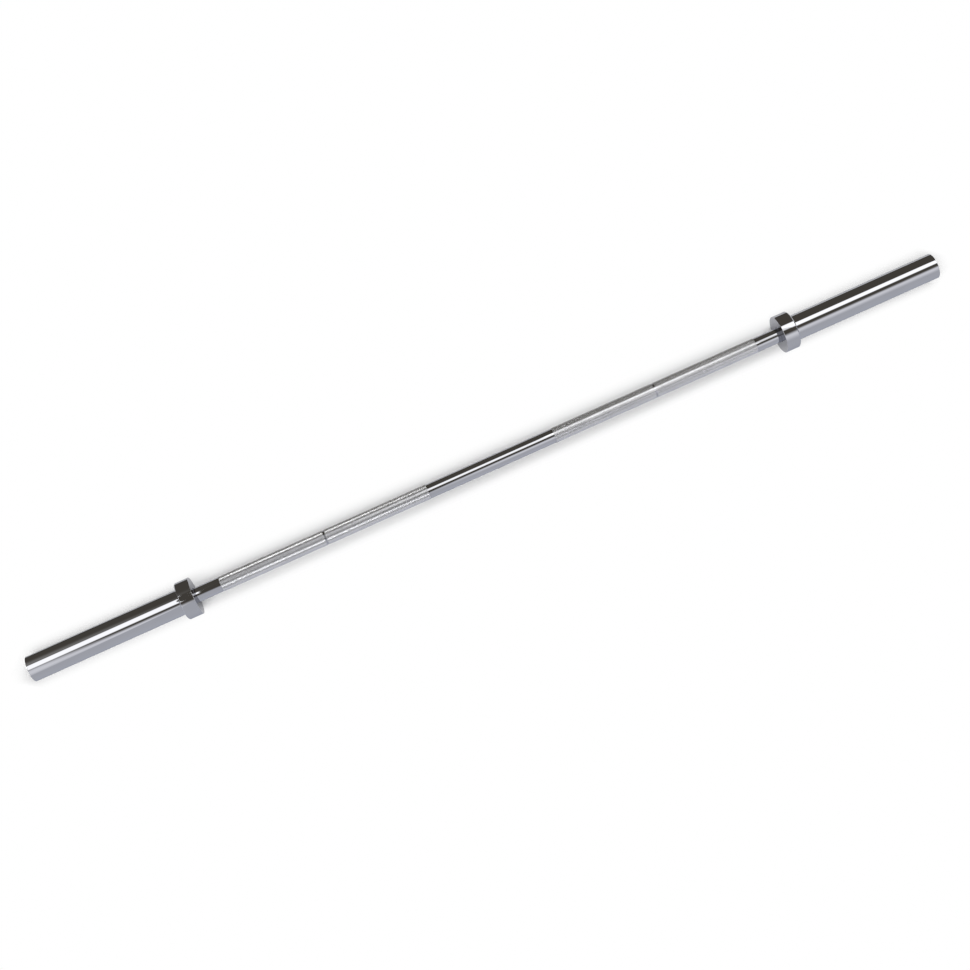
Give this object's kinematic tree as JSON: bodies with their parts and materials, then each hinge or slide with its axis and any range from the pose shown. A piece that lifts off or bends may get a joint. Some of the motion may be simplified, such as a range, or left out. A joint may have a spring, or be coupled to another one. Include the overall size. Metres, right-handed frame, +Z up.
{
  "type": "olympic barbell",
  "caption": "Straight chromed lifting bar with knurled grip bands and collared plate sleeves that spin freely on bronze bushes at the bar's ends.",
  "frame": {"origin": "middle of the shaft, on the bar's axis", "axes": "+X along the bar towards the right-hand sleeve, +Z up; the bar lies on its two collars"},
  "size_m": [1.83, 0.072, 0.072],
  "materials": {
    "shaft_chrome": "bright chrome, satin on the knurled bands",
    "sleeve_chrome": "polished chrome",
    "cap_chrome": "turned and chromed",
    "bush_bronze": "oiled bearing bronze",
    "washer_steel": "ground steel",
    "spring_steel": "phosphated spring steel",
    "seal_rubber": "black rubber"
  },
  "bodies": {
    "shaft": {"shaft": "shaft_chrome", "left_inner_thrust_washer": "washer_steel", "left_outer_thrust_washer": "washer_steel", "left_shaft_snap_ring": "spring_steel", "right_inner_thrust_washer": "washer_steel", "right_outer_thrust_washer": "washer_steel", "right_shaft_snap_ring": "spring_steel"},
    "left_sleeve": {"left_sleeve": "sleeve_chrome", "left_collar": "sleeve_chrome", "left_inner_bush": "bush_bronze", "left_outer_bush": "bush_bronze", "left_dust_seal": "seal_rubber", "left_end_cap_seal": "seal_rubber", "left_end_cap": "cap_chrome", "left_end_cap_snap_ring": "spring_steel"},
    "right_sleeve": {"right_sleeve": "sleeve_chrome", "right_collar": "sleeve_chrome", "right_inner_bush": "bush_bronze", "right_outer_bush": "bush_bronze", "right_dust_seal": "seal_rubber", "right_end_cap_seal": "seal_rubber", "right_end_cap": "cap_chrome", "right_end_cap_snap_ring": "spring_steel"}
  },
  "joints": [
    {"name": "left_sleeve_spin", "type": "hinge", "parent": "shaft", "child": "left_sleeve", "pos_m": [-0.757, 0, 0], "axis": [1, 0, 0], "continuous": true},
    {"name": "right_sleeve_spin", "type": "hinge", "parent": "shaft", "child": "right_sleeve", "pos_m": [0.757, 0, 0], "axis": [1, 0, 0], "continuous": true}
  ]
}
